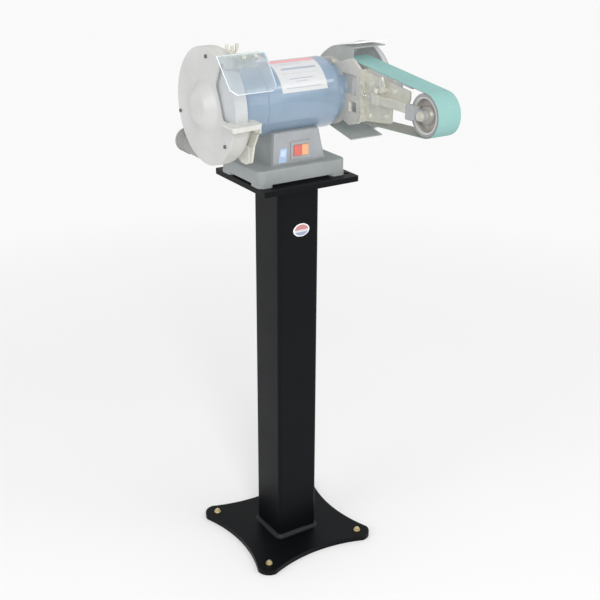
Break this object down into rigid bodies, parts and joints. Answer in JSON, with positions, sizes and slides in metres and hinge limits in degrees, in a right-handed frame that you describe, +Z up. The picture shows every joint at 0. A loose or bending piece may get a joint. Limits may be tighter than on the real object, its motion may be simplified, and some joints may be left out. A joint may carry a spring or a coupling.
{
  "type": "belt disc sander",
  "caption": "Pedestal-mounted bench grinder with a guarded grinding wheel on one end and a swinging belt sanding head with a sanding disc on the other.",
  "frame": {"origin": "floor level, under the axis of the square column", "axes": "+Z up, +X along the motor shaft towards the belt head, -Y towards the operator"},
  "size_m": [0.3882, 0.4708, 1.1065],
  "materials": {
    "black_powder_coat": "satin",
    "grey_casting_paint": "satin",
    "light_grey_paint": "satin",
    "blue_motor_paint": "semi gloss",
    "yellow_zinc": "zinc passivated",
    "brass_zinc": "zinc passivated",
    "bright_steel": "machined",
    "cast_aluminium": "machined",
    "dark_sheet": "satin",
    "pale_sheet": "mill",
    "weld_black": "satin",
    "abrasive_grey": "gritty",
    "abrasive_green": "gritty",
    "abrasive_brown": "gritty",
    "black_rubber": "matte",
    "black_plastic": "matte",
    "red_plastic": "gloss",
    "amber_plastic": "gloss",
    "clear_plastic": "clear",
    "copper_winding": "lacquered",
    "printed_label": "gloss",
    "core_steel": "matte"
  },
  "bodies": {
    "frame": {"floor_plate": "black_powder_coat", "column_tube": "black_powder_coat", "weld_beads": "weld_black", "top_plate": "black_powder_coat", "floor_bolts": "brass_zinc", "machine_bolts": "yellow_zinc", "grinder_base": "grey_casting_paint", "switch_panel": "dark_sheet", "switch_body": "black_plastic", "motor_housing": "blue_motor_paint", "left_end_bell": "blue_motor_paint", "right_end_bell": "blue_motor_paint", "through_bolts": "bright_steel", "stator_core": "core_steel", "stator_windings": "copper_winding", "bearing_outer_rings": "bright_steel", "wheel_guard": "light_grey_paint", "dust_spout": "dark_sheet", "guard_cover": "light_grey_paint", "cover_screws": "core_steel", "tool_rest_bolt": "yellow_zinc", "shield_bracket": "yellow_zinc", "bracket_screws": "bright_steel", "spark_plate": "pale_sheet", "retaining_ring": "bright_steel", "labels": "printed_label", "power_cord": "black_rubber", "power_plug": "black_rubber"},
    "spindle": {"motor_shaft": "bright_steel", "rotor_core": "core_steel", "bearing_inner_sets": "bright_steel", "grinding_wheel": "abrasive_grey", "wheel_flanges": "bright_steel", "drive_wheel": "cast_aluminium", "disc_plate": "cast_aluminium", "abrasive_disc": "abrasive_brown", "shaft_nuts": "yellow_zinc"},
    "stop": {"stop_button": "red_plastic"},
    "start": {"start_button": "amber_plastic"},
    "rest_arm": {"tool_rest_arm": "yellow_zinc"},
    "rest_table": {"tool_rest_table": "light_grey_paint"},
    "shield": {"shield_hinge_strip": "yellow_zinc", "shield_window": "clear_plastic", "shield_screws": "bright_steel"},
    "wing_nut": {"shield_wing_nut": "yellow_zinc"},
    "head": {"adapter_plate": "yellow_zinc", "belt_hood": "dark_sheet", "top_deflector": "pale_sheet", "main_bracket": "yellow_zinc", "platen": "bright_steel", "head_bolts": "yellow_zinc", "sanding_belt": "abrasive_green", "tension_spring": "bright_steel"},
    "arm": {"tension_arm": "bright_steel", "axle_block": "cast_aluminium", "contact_axle": "yellow_zinc"},
    "contact": {"contact_wheel_hub": "cast_aluminium", "contact_tyre": "black_rubber"},
    "lever": {"tension_lever": "yellow_zinc"},
    "knob": {"tracking_knob": "brass_zinc"}
  },
  "joints": [
    {"name": "shaft_spin", "type": "hinge", "parent": "frame", "child": "spindle", "pos_m": [0, 0, 0.986], "axis": [1, 0, 0], "continuous": true},
    {"name": "head_swing", "type": "hinge", "parent": "frame", "child": "head", "pos_m": [0.101, 0, 0.986], "axis": [-1, 0, 0], "range_deg": [0, 90]},
    {"name": "lever_turn", "type": "hinge", "parent": "head", "child": "lever", "pos_m": [0.0997, -0.174, 1.0165], "axis": [1, 0, 0], "range_deg": [0, 45]},
    {"name": "arm_slide", "type": "slide", "parent": "head", "child": "arm", "axis": [0, 1, 0], "range_m": [0, 0.008]},
    {"name": "contact_spin", "type": "hinge", "parent": "arm", "child": "contact", "pos_m": [0.133, -0.2877, 0.9913], "axis": [1, 0, 0], "continuous": true},
    {"name": "knob_turn", "type": "hinge", "parent": "head", "child": "knob", "pos_m": [0.101, -0.1555, 1.013], "axis": [0, 0, 1], "range_deg": [-90, 180]},
    {"name": "shield_tilt", "type": "hinge", "parent": "frame", "child": "shield", "pos_m": [-0.1365, -0.082, 1.0896], "axis": [-1, 0, 0], "range_deg": [0, 60]},
    {"name": "wing_nut_turn", "type": "hinge", "parent": "frame", "child": "wing_nut", "pos_m": [-0.151, -0.0595, 1.094], "axis": [0, 0, 1], "range_deg": [0, 180]},
    {"name": "rest_slide", "type": "slide", "parent": "frame", "child": "rest_arm", "axis": [0, -1, 0], "range_m": [0, 0.012]},
    {"name": "rest_tilt", "type": "hinge", "parent": "rest_arm", "child": "rest_table", "pos_m": [-0.131, -0.106, 0.961], "axis": [1, 0, 0], "range_deg": [0, 15]},
    {"name": "stop_press", "type": "slide", "parent": "frame", "child": "stop", "axis": [0, 1, 0], "range_m": [0, 0.003]},
    {"name": "start_press", "type": "slide", "parent": "frame", "child": "start", "axis": [0, 1, 0], "range_m": [0, 0.003]}
  ],
  "couplings": [
    {"joint": "lever_turn", "follows": "arm_slide", "rad_per_m": 98.15},
    {"joint": "contact_spin", "follows": "shaft_spin", "ratio": 1.2687}
  ]
}
